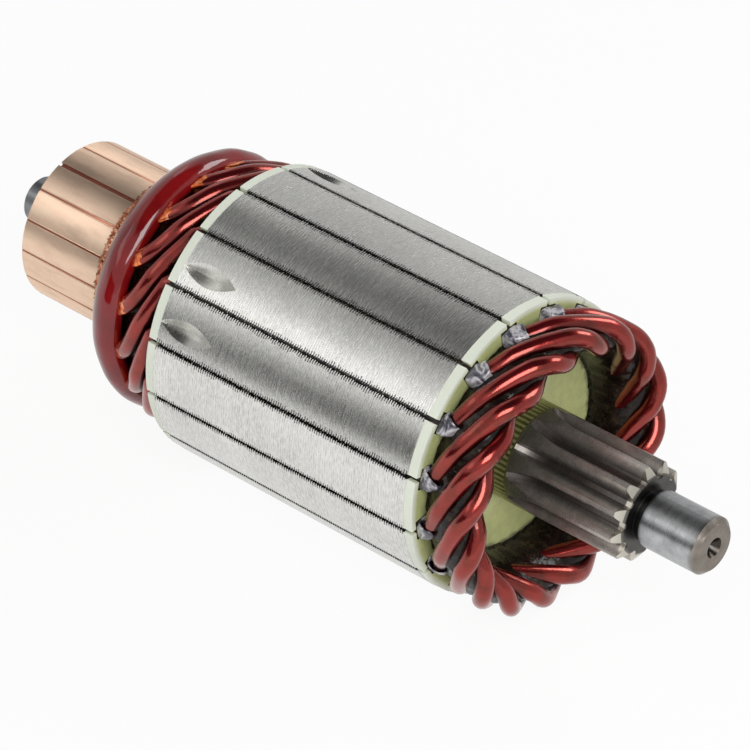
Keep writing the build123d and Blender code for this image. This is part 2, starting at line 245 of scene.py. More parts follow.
def lamination_steel(steel, pitch):
    """Silicon steel sheet, stacked and ground round: hair lines where sheets meet, a satin
    grey sheen across them with painted highlights, and ragged painted shade along each slot's mouth."""
    material, tree, shader, place = begin("silicon_steel_ground_stack", Metallic=1.0)
    x, angle, radius = round_place(tree, place)
    # Two sheets meet in a line that takes 0.3 of a sheet's thickness
    sheet = add(tree, "Math", {0: x, 1: pitch}, operation="DIVIDE")
    number = add(tree, "Math", {0: sheet}, operation="FLOOR")
    part = add(tree, "Math", {0: sheet}, operation="FRACT")
    joint = add(tree, "MapRange", {"Value": part, "From Max": 0.3, "To Min": 1.0, "To Max": 0.0})
    tone = add(tree, "TexWhiteNoise", {"W": number}, noise_dimensions="1D")
    tone = add(tree, "Math", {0: tone, 1: 0.09}, operation="MULTIPLY")
    # Grinding scratches run round the stack, 0.2 mm apart and some 6 mm long
    scratch = wrapped(tree, x, angle, CORE_RADIUS, along=0.2, around=6.17)
    scratch = add(tree, "TexNoise", {"Vector": scratch, "Scale": 1.0, "Detail": 3.0, "Roughness": 0.7})
    # Handling marks and thin oil, in patches of about 11 mm
    patch = add(tree, "TexNoise", {"Vector": place, "Scale": 1 / 11.1, "Detail": 4.0, "Roughness": 0.6})
    patch = add(tree, "MapRange", {"Value": patch, "From Min": 0.3, "From Max": 0.7})
    base = add(tree, "Mix", {0: patch, 6: shade(steel, 0.92), 7: shade(steel, 1.10)},
               out=2, data_type="RGBA")
    # Painted shade beside each mouth: half of every sheet's edge is darkened, up to 0.7 to 1.15 mm from
    # the mouth's middle
    slot, beside = pitch_place(tree, angle, CORE_RADIUS, FIRST_SLOT - SLOT_PITCH / 2)
    side = add(tree, "Math", {0: beside}, operation="SIGN")
    seed = add(tree, "CombineXYZ", {"X": number, "Y": slot, "Z": side})
    painted_mouth_shade = add(tree, "TexWhiteNoise", {"Vector": seed}, noise_dimensions="3D")
    painted_mouth_shade = add(tree, "MapRange", {"Value": painted_mouth_shade, "To Min": 0.7, "To Max": 1.15})
    away = add(tree, "Math", {0: beside}, operation="ABSOLUTE")
    painted_mouth_shade = add(tree, "Math", {0: away, 1: painted_mouth_shade}, operation="LESS_THAN")
    half = add(tree, "Math", {0: part, 1: 0.5}, operation="LESS_THAN")
    painted_mouth_shade = add(tree, "Math", {0: painted_mouth_shade, 1: half}, operation="MULTIPLY")
    painted_mouth_shade = add(tree, "Math", {0: painted_mouth_shade, 1: 0.8}, operation="MULTIPLY")
    # Hair lines 1.4 mm long, where the grinding tore an edge, and painted highlights between them:
    # both are on the ground face alone, not in the slots and the notches
    face = add(tree, "Math", {0: radius, 1: CORE_RADIUS - 0.1}, operation="GREATER_THAN")
    hair = wrapped(tree, x, angle, CORE_RADIUS, along=0.3226, around=1.411)
    hair = add(tree, "TexNoise", {"Vector": hair, "Scale": 1.0, "Detail": 2.0, "Roughness": 0.6})
    painted_glint = add(tree, "MapRange", {"Value": hair, "From Min": 0.55, "From Max": 0.35, "To Max": 0.38})
    painted_glint = add(tree, "Math", {0: painted_glint, 1: face}, operation="MULTIPLY")
    torn = add(tree, "MapRange", {"Value": hair, "From Min": 0.5, "From Max": 0.72})
    torn = add(tree, "Math", {0: torn, 1: 0.6, 2: 0.16}, operation="MULTIPLY_ADD")
    line = add(tree, "Math", {0: joint, 1: torn}, operation="MULTIPLY")
    line = add(tree, "Math", {0: line, 1: face}, operation="MULTIPLY")
    # The white is the painted highlight, and the darkest grey the painted shade beside the mouths
    for share, code in ((tone, "#5d5f60"), (line, "#4b4c4d"), (painted_glint, "#ffffff"), (painted_mouth_shade, "#414142")):
        base = add(tree, "Mix", {0: share, 6: base, 7: rgba(code)}, out=2, data_type="RGBA")
    height = add(tree, "Math", {0: scratch, 1: line}, operation="SUBTRACT")
    height = add(tree, "Math", {0: height, 1: painted_glint}, operation="ADD")
    height = add(tree, "Math", {0: height, 1: face}, operation="MULTIPLY")
    surface(tree, shader, base, (scratch, 0.16, 0.36), height, strength=0.6, depth=0.03)
    return material


def shaft_steel():
    """Case-hardened shaft steel: ground bright on the journals, hobbed and oiled on the pinion
    with painted shade between its teeth, yellowed by varnish on the knurl and the shaft between,
    and painted highlights on the knurl's crests and the teeth's chamfers."""
    material, tree, shader, place = begin("case_hardened_steel_hobbed_and_ground")
    x, angle, radius = round_place(tree, place)
    # Each colour stands at its distance along the shaft, in mm
    # Painted light in the zones: the light colour at 60.2 mm is a highlight on the teeth's chamfers, and
    # the dark ones at 61.4 and 62.6 mm are shade in the groove behind the teeth
    zones = ((-90.0, "#8f9294"), (-75.3, "#8f9294"), (-75.2, "#5f564c"), (31.3, "#807d58"),
             (36.1, "#807d5e"), (36.4, "#67635f"), (44.0, "#a8a39c"), (60.2, "#c6c0b8"),
             (61.4, "#2a2a2b"), (62.6, "#3a3b3c"), (63.2, "#a9abad"), (66.0, "#c2c4c5"),
             (73.9, "#c2c4c5"), (74.1, "#988f86"), (80.0, "#988f86"))
    first, last = zones[0][0], zones[-1][0]
    along = add(tree, "MapRange", {"Value": x, "From Min": first, "From Max": last})
    base = add(tree, "ValToRGB", {0: along}, stops=[
        ((distance - first) / (last - first), rgba(code)) for distance, code in zones])
    # Scale and oil hide part of the metal on the pinion; between its teeth the colour is darkened as
    # painted shade
    pinion_middle, pinion_half, root_radius, shade_radius = 48.0, 11.7, 6.9, 8.6
    pinion = add(tree, "Math", {0: x, 1: pinion_middle, 2: pinion_half}, operation="COMPARE")
    metal = add(tree, "MapRange", {"Value": pinion, "To Min": 1.0, "To Max": 0.75})
    tree.links.new(metal, shader.inputs["Metallic"])
    painted_gullet_shade = add(tree, "MapRange", {"Value": radius, "From Min": shade_radius, "From Max": root_radius,
                                    "To Max": 0.8})
    painted_gullet_shade = add(tree, "Math", {0: painted_gullet_shade, 1: pinion}, operation="MULTIPLY")
    # Stains of about 2 mm
    stain = add(tree, "TexNoise", {"Vector": place, "Scale": 1 / 2.222, "Detail": 5.0, "Roughness": 0.65})
    stain = add(tree, "MapRange", {"Value": stain, "From Min": 0.35, "From Max": 0.7, "To Max": 0.35})
    # Painted highlights on the crests of the knurl and the chamfers of the teeth
    knurl_end, chamfer_middle, chamfer_half = 36.2, 60.4, 0.5
    painted_crest_highlight = add(tree, "MapRange", {"Value": radius, "From Min": 9.15, "From Max": 9.3})
    knurl = add(tree, "Math", {0: x, 1: knurl_end}, operation="LESS_THAN")
    painted_crest_highlight = add(tree, "Math", {0: painted_crest_highlight, 1: knurl}, operation="MULTIPLY")
    chamfer = add(tree, "Math", {0: x, 1: chamfer_middle, 2: chamfer_half}, operation="COMPARE")
    painted_crest_highlight = add(tree, "Math", {0: painted_crest_highlight, 1: chamfer}, operation="MAXIMUM")
    painted_crest_highlight = add(tree, "Math", {0: painted_crest_highlight, 1: 0.6}, operation="MULTIPLY")
    # Painted shade in the lathe centre
    painted_bore_shade = add(tree, "MapRange", {"Value": radius, "From Min": 2.0, "From Max": 1.85, "To Max": 0.85})
    # Painted shade between the teeth and in the centre, painted highlights on the crests, and real stains
    for share, code in ((painted_gullet_shade, "#1d1b1a"), (stain, "#2b2724"), (painted_crest_highlight, "#e9e4d4"), (painted_bore_shade, "#2d2824")):
        base = add(tree, "Mix", {0: share, 6: base, 7: rgba(code)}, out=2, data_type="RGBA")
    # Ground and hobbed marks run round the shaft, about 0.14 mm apart and 8 mm long
    marks = wrapped(tree, x, angle, 9.2, along=0.1429, around=8.03, inward=radius)
    marks = add(tree, "TexNoise", {"Vector": marks, "Scale": 1.0})
    surface(tree, shader, base, (marks, 0.2, 0.4), marks, strength=0.35, depth=0.02)
    return material


def glass_board(board):
    """Epoxy glass laminate, punched: pale fibrous cut edges and a yellow-green face under
    a film of varnish, darkened round the slots by varnish and painted shade under the wires."""
    material, tree, shader, place = begin("epoxy_glass_laminate_punched", IOR=1.52, Coat_Weight=0.25,
                                          Coat_Roughness=0.12)
    radius = round_place(tree, place)[2]
    # Runs of varnish about 2 mm long
    run = add(tree, "TexNoise", {"Vector": place, "Scale": 1 / 2.0, "Detail": 4.0, "Roughness": 0.6})
    pool = add(tree, "MapRange", {"Value": run, "From Min": 0.42, "From Max": 0.62})
    base = add(tree, "Mix", {0: pool, 6: shade(board, 1.05), 7: shade(board, 0.92)},
               out=2, data_type="RGBA")
    # Varnish with painted shade under the wires darkens the face between the slots and thins towards the
    # rim, its edge 2.4 mm uneven
    varnish_and_shade = add(tree, "Math", {0: run, 1: 2.4, 2: radius}, operation="MULTIPLY_ADD")
    varnish_and_shade = add(tree, "MapRange", {"Value": varnish_and_shade, "From Min": 18.0, "From Max": 30.0})
    varnish_and_shade = add(tree, "ValToRGB", {0: varnish_and_shade}, stops=[
        (at, (cover, cover, cover, 1.0)) for at, cover in
        ((0.14, 0.0), (0.22, 0.9), (0.56, 0.85), (0.70, 0.0))])
    rim = add(tree, "MapRange", {"Value": radius, "From Min": 26.9, "From Max": 27.9})
    # Glass fibre shows as pale threads 0.3 mm apart
    fibre = add(tree, "TexNoise", {"Vector": place, "Scale": 1 / 0.2941, "Detail": 3.0, "Roughness": 0.8})
    grain = add(tree, "MapRange", {"Value": fibre, "From Min": 0.3, "From Max": 0.7, "To Max": 0.2})
    # The olive brown is varnish with painted shade; the rim and the threads are the board's own colour
    for share, code in ((varnish_and_shade, "#4a4424"), (rim, "#e4eadb"), (grain, "#f0f3df")):
        base = add(tree, "Mix", {0: share, 6: base, 7: rgba(code)}, out=2, data_type="RGBA")
    surface(tree, shader, base, (run, 0.2, 0.55), fibre, strength=0.4, depth=0.05)
    return material


def slot_film():
    """Polyester film, folded and varnished: grey and glossy, with soft creases whose hollows are
    painted dark as shade and whose ridges are painted light as highlights."""
    material, tree, shader, place = begin("polyester_film_varnished", IOR=1.58, Coat_Weight=1.0,
                                          Coat_Roughness=0.06)
    # Creases about 2 mm apart, painted dark as shade in their hollows and light as highlights towards
    # their ridges
    crease = add(tree, "TexNoise", {"Vector": place, "Scale": 1 / 1.818, "Detail": 3.0, "Distortion": 0.6})
    base = add(tree, "ValToRGB", {0: crease}, stops=(
        (0.34, rgba("#181724")), (0.45, rgba("#4f4d59")), (0.57, rgba("#c6c3c8")),
        (0.72, rgba("#454343"))))
    surface(tree, shader, base, (crease, 0.18, 0.45), crease, strength=0.6, depth=0.25)
    return material


def red_enamel(enamel):
    """Polyamide-imide enamel baked on drawn copper: a clear crimson skin over metal that shines
    orange where light reaches the copper, and painted dark shade between wires and on the legs' lower
    half."""
    material, tree, shader, place = begin("red_enamelled_copper_wire", Metallic=0.85, Coat_Weight=0.6,
                                          Coat_Roughness=0.07, Coat_IOR=1.5)
    # Varnish that has run over the wire in patches of about 4 mm
    run = add(tree, "TexNoise", {"Vector": place, "Scale": 1 / 3.571, "Detail": 3.0, "Roughness": 0.55})
    base = add(tree, "ValToRGB", {0: run}, stops=(
        (0.30, shade(enamel, 0.45)), (0.47, shade(enamel, 0.85)), (0.66, shade(enamel, 1.05))))
    # Painted shade: near black where other wires lie within 3 mm, found by ambient occlusion
    painted_shade = add(tree, "AmbientOcclusion", {"Distance": 3.0 * MM}, out="AO", samples=8)
    painted_shade = add(tree, "MapRange", {"Value": painted_shade, "From Min": 0.4, "From Max": 0.95, "To Min": 0.9,
                                    "To Max": 0.0})
    # Painted shade: behind the stack the lower half of the legs, which fall towards the band, is painted
    # near black
    x, _, radius = round_place(tree, place)
    fall = add(tree, "MapRange", {"Value": x, "From Min": -37.0, "From Max": -44.0,
                                  "To Min": OUTER_LAYER - 0.2, "To Max": 22.0})
    painted_leg_shade = add(tree, "Math", {0: fall, 1: radius}, operation="SUBTRACT")
    painted_leg_shade = add(tree, "MapRange", {"Value": painted_leg_shade, "From Min": -1.1, "From Max": -0.1, "To Max": 0.95})
    behind = add(tree, "Math", {0: x, 1: 0.0}, operation="LESS_THAN")
    painted_leg_shade = add(tree, "Math", {0: painted_leg_shade, 1: behind}, operation="MULTIPLY")
    painted_shade = add(tree, "Math", {0: painted_shade, 1: painted_leg_shade}, operation="MAXIMUM")
    # Both painted shades turn the enamel near-black brown
    base = add(tree, "Mix", {0: painted_shade, 6: base, 7: rgba("#1c0c0a")}, out=2, data_type="RGBA")
    # The enamel's skin is uneven over 0.6 mm
    fine = add(tree, "TexNoise", {"Vector": place, "Scale": 1 / 0.625})
    bump = surface(tree, shader, base, (fine, 0.16, 0.32), fine, strength=0.2, depth=0.1)
    metal = add(tree, "BsdfAnisotropic", {"Color": rgba("#ffa060"), "Roughness": 0.16, "Normal": bump})
    # A share of 0.07 of the copper shines through, less where the shade is painted
    clear = add(tree, "Math", {0: painted_shade, 1: -0.07, 2: 0.07}, operation="MULTIPLY_ADD")
    mixed = add(tree, "MixShader", {0: clear, 1: shader.outputs[0], 2: metal})
    tree.links.new(mixed, tree.nodes["Material Output"].inputs["Surface"])
    return material


def bare_copper(name, shades):
    """Copper with its surface scraped or torn: bright or stained metal with marks of 1 mm."""
    material, tree, shader, place = begin(name, Metallic=1.0)
    scrape = add(tree, "TexNoise", {"Vector": place, "Scale": 1 / 1.111})
    base = add(tree, "ValToRGB", {0: scrape}, stops=[
        (at, rgba(code)) for at, code in zip((0.3, 0.48, 0.66), shades)])
    surface(tree, shader, base, (scrape, 0.15, 0.35), scrape, strength=0.4, depth=0.1)
    return material


def trickle_varnish():
    """Trickle resin, cured: nearly black with an olive tinge, high gloss and small drops."""
    material, tree, shader, place = begin("trickle_resin_cured", IOR=1.5, Specular_IOR_Level=0.25)
    # Runs of 2 mm, and drops of 0.8 mm on them
    run = add(tree, "TexNoise", {"Vector": place, "Scale": 1 / 2.0, "Detail": 4.0, "Roughness": 0.6})
    base = add(tree, "ValToRGB", {0: run}, stops=(
        (0.35, rgba("#110c0a")), (0.55, rgba("#1f1611")), (0.70, rgba("#38311f"))))
    drops = add(tree, "TexNoise", {"Vector": place, "Scale": 1 / 0.7692})
    surface(tree, shader, base, (run, 0.06, 0.22), drops, strength=0.4, depth=0.2)
    return material


def band_resin(resin):
    """Epoxy resin cast in a ring: dark red, very glossy, with slow waves in its skin."""
    material, tree, shader, place = begin("dark_red_epoxy_resin_cast", IOR=1.5, Coat_Weight=0.3,
                                          Coat_Roughness=0.04, Coat_IOR=1.5)
    # Clouds of about 6 mm, and waves of about 3 mm
    cloud = add(tree, "TexNoise", {"Vector": place, "Scale": 1 / 6.25, "Detail": 3.0})
    base = add(tree, "ValToRGB", {0: cloud}, stops=(
        (0.35, shade(resin, 0.72)), (0.55, shade(resin, 1.0)), (0.70, shade(resin, 1.22))))
    wave = add(tree, "TexNoise", {"Vector": place, "Scale": 1 / 2.857, "Detail": 1.0})
    surface(tree, shader, base, (cloud, 0.04, 0.12), wave, strength=0.35, depth=0.25)
    return material


def turned_copper(copper):
    """Hard-drawn copper, turned on a lathe: pale pink metal with fine rings and soft
    bands, and a brown edge along each gap."""
    material, tree, shader, place = begin("copper_turned", Metallic=1.0, Anisotropic=0.92,
                                          Anisotropic_Rotation=0.25)
    x, angle, _ = round_place(tree, place)
    # Tarnish lies along the bars in streaks of about 8 by 2 mm
    streak = wrapped(tree, x, angle, TRACK_RADIUS, along=8.333, around=2.276)
    streak = add(tree, "TexNoise", {"Vector": streak, "Scale": 1.0, "Detail": 4.0, "Roughness": 0.6})
    base = add(tree, "ValToRGB", {0: streak}, stops=(
        (0.32, shade(copper, 0.85)), (0.52, shade(copper, 1.0)), (0.70, shade(copper, 1.06))))
    # Turning rings are 0.125 mm apart
    rings = wrapped(tree, x, angle, TRACK_RADIUS, along=0.125, around=9.105)
    rings = add(tree, "TexNoise", {"Vector": rings, "Scale": 1.0, "Detail": 2.0, "Roughness": 0.7})
    fine = add(tree, "MapRange", {"Value": rings, "From Min": 0.35, "From Max": 0.7, "To Max": 0.08})
    # A thin brown line, 0.12 to 0.24 mm from the middle of the gap between two bars
    gap = pitch_place(tree, angle, TRACK_RADIUS, FIRST_SLOT)[1]
    gap = add(tree, "Math", {0: gap}, operation="ABSOLUTE")
    edge = add(tree, "MapRange", {"Value": gap, "From Min": 0.12, "From Max": 0.24, "To Min": 0.9,
                                  "To Max": 0.0})
    for share, code in ((fine, "#a46c51"), (edge, "#9a4a34")):
        base = add(tree, "Mix", {0: share, 6: base, 7: rgba(code)}, out=2, data_type="RGBA")
    surface(tree, shader, base, (rings, 0.36, 0.5), rings, strength=0.3, depth=0.02)
    tree.links.new(add(tree, "Tangent", direction_type="RADIAL", axis="X"), shader.inputs["Tangent"])
    return material


def phenolic_moulding():
    """Phenolic resin with glass filler, moulded: matt red-brown with specks of 0.4 mm."""
    material, tree, shader, place = begin("phenolic_resin_moulded", IOR=1.6)
    speck = add(tree, "TexNoise", {"Vector": place, "Scale": 1 / 0.4, "Detail": 4.0, "Roughness": 0.75})
    base = add(tree, "ValToRGB", {0: speck}, stops=(
        (0.3, rgba("#3a1712")), (0.55, rgba("#6d2f22")), (0.75, rgba("#8a5140"))))
    surface(tree, shader, base, (speck, 0.4, 0.65), speck, strength=0.4, depth=0.05)
    return material


def dress(node_names, material):
    """Give CAD nodes a finish of their own."""
    for name in node_names:
        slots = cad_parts[name].data.materials
        slots.clear()
        slots.append(material)


def in_space(x, radius, angle):
    """Point in metres from millimetres along the shaft, a radius and an angle round it."""
    turn = math.radians(angle)
    return Vector((x, radius * math.cos(turn), radius * math.sin(turn))) * MM


def field_place(x, angle, rate, ring):
    """Place in a noise field: x at a rate per mm, and the angle on a ring of a radius."""
    turn = math.radians(angle)
    return Vector((x * rate, math.cos(turn) * ring, math.sin(turn) * ring))


def slot_angles(shift=0.0):
    """Angle of each slot, or of a place a share of the pitch further on."""
    return [FIRST_SLOT + (slot + shift) * SLOT_PITCH for slot in range(SLOTS)]


def mesh_object(name, points, faces, materials):
    """Smooth mesh object with its finishes, in the scene."""
    mesh = bpy.data.meshes.new(name)
    mesh.from_pydata([tuple(point) for point in points], [], faces)
    for material in materials:
        mesh.materials.append(material)
    mesh.polygons.foreach_set("use_smooth", [True] * len(mesh.polygons))
    mesh.update()
    made = bpy.data.objects.new(name, mesh)
    bpy.context.scene.collection.objects.link(made)
    return made


def new_piece(name, points, faces, materials, stands_for=(), face_materials=None):
    """Mesh piece on the rotor, with its finish and what it stands for."""
    piece = mesh_object(name, points, faces, materials)
    if face_materials:
        piece.data.polygons.foreach_set("material_index", face_materials)
    # Every closed skin faces outwards
    skin = bmesh.new()
    skin.from_mesh(piece.data)
    bmesh.ops.recalc_face_normals(skin, faces=skin.faces)
    skin.to_mesh(piece.data)
    skin.free()
    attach(piece, "root")
    if stands_for:
        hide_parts(*stands_for)
    return piece


def smooth_line(points, step):
    """Points about a step apart on a smooth line through the given points."""
    knots = [0.0]
    for start, end in zip(points, points[1:]):
        knots.append(knots[-1] + (end - start).length)
    last = len(points) - 1
    slopes = [(points[min(i + 1, last)] - points[max(i - 1, 0)])
              / (knots[min(i + 1, last)] - knots[max(i - 1, 0)]) for i in range(last + 1)]
    line = []
    for i in range(last):
        span = knots[i + 1] - knots[i]
        count = max(1, round(span / step))
        for k in range(count):
            t = k / count
            line.append(points[i] * (2 * t ** 3 - 3 * t ** 2 + 1)
                        + slopes[i] * span * (t ** 3 - 2 * t ** 2 + t)
                        + points[i + 1] * (3 * t ** 2 - 2 * t ** 3)
                        + slopes[i + 1] * span * (t ** 3 - t ** 2))
    line.append(points[-1])
    return line


def ring_faces(rings, size, looped=False, capped=True):
    """Faces between rings of points, in a loop, or in a row with its ends closed or open."""
    faces = []
    for ring in range(rings if looped else rings - 1):
        here, there = ring * size, (ring + 1) % rings * size
        for spot in range(size):
            beside = (spot + 1) % size
            faces.append((here + spot, here + beside, there + beside, there + spot))
    if capped and not looped:
        faces.append(tuple(reversed(range(size))))
        faces.append(tuple(range((rings - 1) * size, rings * size)))
    return faces


def lathe(profile, steps, ripple=None, start=0.0, sweep=360.0):
    """Points and faces of a closed profile of (x, radius), turned round the shaft or over a sweep
    with its ends closed; ripple moves each point."""
    full = sweep >= 360.0
    rows = steps if full else steps + 1
    points = []
    for row in range(rows):
        angle = start + sweep * row / steps
        for x, radius in profile:
            if ripple:
                x, radius = ripple(x, radius, angle)
            points.append(in_space(x, radius, angle))
    return points, ring_faces(rows, len(profile), looped=full)


def lathe_arcs(profile, steps, middles, half, ripple=None):
    """Points and faces of a profile turned to each side of every middle angle."""
    points, faces = [], []
    for middle in middles:
        arc, arc_faces = lathe(profile, steps, ripple, start=middle - half, sweep=2 * half)
        shift = len(points)
        points += arc
        faces += [tuple(i + shift for i in face) for face in arc_faces]
    return points, faces


def tube(line, sides, section, capped=True):
    """Points and faces of a tube along a line; section gives a ring point's (across, out) in
    metres from the ring's number, the turn round it and the ring's centre."""
    points = []
    for index, centre in enumerate(line):
        ahead = line[min(index + 1, len(line) - 1)] - line[max(index - 1, 0)]
        ahead.normalize()
        out = Vector((0.0, centre.y, centre.z)).normalized()
        out = (out - ahead * out.dot(ahead)).normalized()
        across = ahead.cross(out)
        for side in range(sides):
            wide, high = section(index, 2 * math.pi * side / sides, centre)
            points.append(centre + across * wide + out * high)
    return points, ring_faces(len(line), sides, capped=capped)


def boxed(turn, power):
    """Cosine and sine of a turn, pulled out from a circle towards a square as power falls."""
    return [math.copysign(abs(value) ** power, value) for value in (math.cos(turn), math.sin(turn))]


def leg(stations, sign, side, layer, slot_angle):
    """One bent leg's stations as distance, radius and angle."""
    return [(side * (BEND_START + reach), layer + lift, slot_angle + sign * lay)
            for reach, lay, lift in stations]


def solder_end(stations, sign, layer, slot_angle):
    """Tip of a leg, run down into its commutator bar."""
    reach, lay, lift = stations[-1]
    return (-(BEND_START + reach + SOLDER_RUN), layer + lift - SOLDER_DROP, slot_angle + sign * lay)


def hairpin_line(slot_angle):
    """Smooth centre line of one hairpin, from the outer leg's solder end to the inner leg's."""
    back_angle = slot_angle - POLE_SPAN * SLOT_PITCH
    stations = (
        [solder_end(TAIL_OUTER, 1, OUTER_LAYER, slot_angle)]
        + leg(TAIL_OUTER, 1, -1, OUTER_LAYER, slot_angle)[::-1]
        + leg(CROWN_OUTER, -1, 1, OUTER_LAYER, slot_angle)
        + leg(CROWN_INNER, 1, 1, INNER_LAYER, back_angle)[::-1]
        + leg(TAIL_INNER, -1, -1, INNER_LAYER, back_angle)
        + [solder_end(TAIL_INNER, -1, INNER_LAYER, back_angle)]
    )
    return smooth_line([in_space(*station) for station in stations], 0.9 * MM)


class ROTOR_OT_shaft(bpy.types.Operator):
    """Finish the shaft, its pinion, knurl and journals"""

    bl_idname = "rotor.shaft"
    bl_label = "Shaft"

    def execute(self, context):
        dress(["armature_shaft"], shaft_steel())
        return {"FINISHED"}


class ROTOR_OT_stack(bpy.types.Operator):
    """Finish the lamination stack and raise the burrs of its sheets along each slot's mouth"""

    bl_idname = "rotor.stack"
    bl_label = "Lamination stack"

    def execute(self, context):
        sizes = context.scene.rotor_sizes
        pitch = sizes.sheet_pitch / MM
        steel = lamination_steel(context.scene.rotor_colours.steel, pitch)
        dress(["lamination_core"], steel)
        draw = random.Random(sizes.seed)
        # Each burr is a small block. In mm: how far its root, tip and foot lie under the ground
        # face, how far its root reaches into the tooth, and where the first one starts
        root_sunk, tip_sunk, foot_sunk, root_cover, first_start = 0.02, 0.05, 0.7, 0.05, 0.06
        block = ((0, 1, 2, 3), (7, 6, 5, 4), (0, 4, 5, 1), (1, 5, 6, 2), (2, 6, 7, 3), (3, 7, 4, 0))
        points, faces = [], []
        for middle in slot_angles():
            for side in (-1, 1):
                root = middle + side * math.degrees((MOUTH_WIDTH / 2 + root_cover) / CORE_RADIUS)
                for sheet in range(int(2 * CORE_END / pitch)):
                    reach = draw.uniform(0.3, 1.0) * sizes.burr_reach / MM
                    # The two sides' burrs stand half a sheet apart
                    start = -CORE_END + (sheet + 0.25 * (side + 1)) * pitch + first_start
                    end = start + pitch * draw.uniform(0.35, 0.5)
                    tip = middle + side * math.degrees((MOUTH_WIDTH / 2 - reach) / CORE_RADIUS)
                    first = len(points)
                    corners = ((root_sunk, root), (tip_sunk, tip), (foot_sunk, tip), (foot_sunk, root))
                    points += [in_space(x, CORE_RADIUS - sunk, angle)
                               for x in (start, end) for sunk, angle in corners]
                    faces += [tuple(first + i for i in face) for face in block]
        burrs = new_piece("sheet_burrs", points, faces, [steel])
        burrs.data.polygons.foreach_set("use_smooth", [False] * len(burrs.data.polygons))
        return {"FINISHED"}


class ROTOR_OT_boards(bpy.types.Operator):
    """Finish the end boards and the varnished film in the slots"""

    bl_idname = "rotor.boards"
    bl_label = "End boards and slot film"

    def execute(self, context):
        dress(["front_insulator", "rear_insulator"], glass_board(context.scene.rotor_colours.board))
        # The film in the slots takes the near-black resin, which also paints shade into the slots' mouths
        dress([f"slot_liner_{slot + 1:02d}" for slot in range(SLOTS)], trickle_varnish())
        return {"FINISHED"}


class ROTOR_OT_hairpins(bpy.types.Operator):
    """Bend the sixteen hairpins from round enamelled wire, bare where they meet the band"""

    bl_idname = "rotor.hairpins"
    bl_label = "Hairpin winding"

    def execute(self, context):
        enamel = red_enamel(context.scene.rotor_colours.enamel)
        bare = bare_copper("bare_copper_scraped", ("#a83a1c", "#ee7d49", "#ffb183"))
        radius = context.scene.rotor_sizes.wire_diameter / 2
        bare_from = TAILS_BARE_FROM * MM
        sides = 20
        # Shares of the radius: the varnish's waves, some 2 mm long, its swell outside the
        # slots, which grows over 3 mm, and what is scraped off where the wire is squared
        waves, wave_rate, thick, thick_over, scraped = 0.03, 450, 0.06, 3.0, 0.12
        square_over = 1.0 * MM
        for slot, angle in enumerate(slot_angles()):

            def section(index, turn, centre):
                """Round wire, squared off where it is bare, with the slight waves of its varnish."""
                round_here = Vector((math.cos(turn), math.sin(turn), slot * 3.1))
                swell = 1.0 + waves * noise.noise(centre * wave_rate + round_here)
                swell += thick * min(1.0, max(0.0, abs(centre.x) / MM - BOARD_END) / thick_over)
                square = min(1.0, max(0.0, (bare_from - centre.x) / square_over))
                wide, high = boxed(turn, 2 / (2 + 3 * square))
                return [part * (1 - scraped * square) * radius * swell for part in (wide, high)]

            points, faces = tube(hairpin_line(angle), sides, section)
            kinds = [1 if sum(points[i].x for i in face) / len(face) < bare_from else 0 for face in faces]
            new_piece(f"wire_{slot + 1:02d}", points, faces, [enamel, bare],
                      (f"hairpin_{slot + 1:02d}",), kinds)
        return {"FINISHED"}


class ROTOR_OT_cuffs(bpy.types.Operator):
    """Fold the ends of the slot film round the wires where they leave the front board"""

    bl_idname = "rotor.cuffs"
    bl_label = "Film cuffs"

    def execute(self, context):
        sizes = context.scene.rotor_sizes
        film = slot_film()
        draw = random.Random(sizes.seed + 1)
        sides, rings = 24, 9
        # In mm: the film with its varnish, the half width of its box, how far it starts inside
        # the board, the depth of its crumples, and how far its torn edge stands back or out
        wall, half_width, inside_board, crumple_depth, tear = 0.22, 1.93, 0.4, 0.16, 0.45
        step = 0.1
        for slot, angle in enumerate(slot_angles()):
            stations = [(BOARD_END - inside_board, OUTER_LAYER, angle)]
            stations += leg(CROWN_OUTER, -1, 1, OUTER_LAYER, angle)[:4]
            whole = smooth_line([in_space(*station) for station in stations], step * MM)
            reach = sizes.cuff_reach / MM * draw.uniform(0.8, 1.15) + 0.9
            picked = [whole[min(len(whole) - 1, round(reach / step * ring / (rings - 1)))]
                      for ring in range(rings)]
            flare = draw.uniform(0.1, 0.35)
            phase = draw.uniform(0.0, 6.0)

            def outline(index, turn, inner):
                """Rounded box round the wire, a little flared and crumpled at its mouth."""
                open_end = (index / (rings - 1)) ** 2
                wide, high = boxed(turn, 2 / (5 - 2.2 * open_end))
                crumple = crumple_depth * open_end * math.sin(3 * turn + phase)
                grow = half_width + flare * open_end + crumple - inner
                return wide * grow * MM, high * (grow - 0.02) * MM

            points, faces = tube(picked, sides, lambda i, t, c: outline(i, t, 0.0), capped=False)
            inside, inside_faces = tube(picked, sides, lambda i, t, c: outline(i, t, wall), capped=False)
            shift = len(points)
            for side in range(sides):
                torn = tear * noise.noise(Vector((side * 0.55, slot * 1.7, 0.0)))
                for group in (points, inside):
                    rim = (rings - 1) * sides + side
                    group[rim] = group[rim] + (group[rim] - group[rim - sides]).normalized() * torn * MM
            faces += [tuple(reversed([i + shift for i in face])) for face in inside_faces]
            for ring in (0, rings - 1):
                for side in range(sides):
                    a, b = ring * sides + side, ring * sides + (side + 1) % sides
                    edge = (b, a, a + shift, b + shift)
                    faces.append(edge if ring == 0 else (a, b, b + shift, a + shift))
            new_piece(f"film_cuff_{slot + 1:02d}", points + inside, faces, [film])
        return {"FINISHED"}


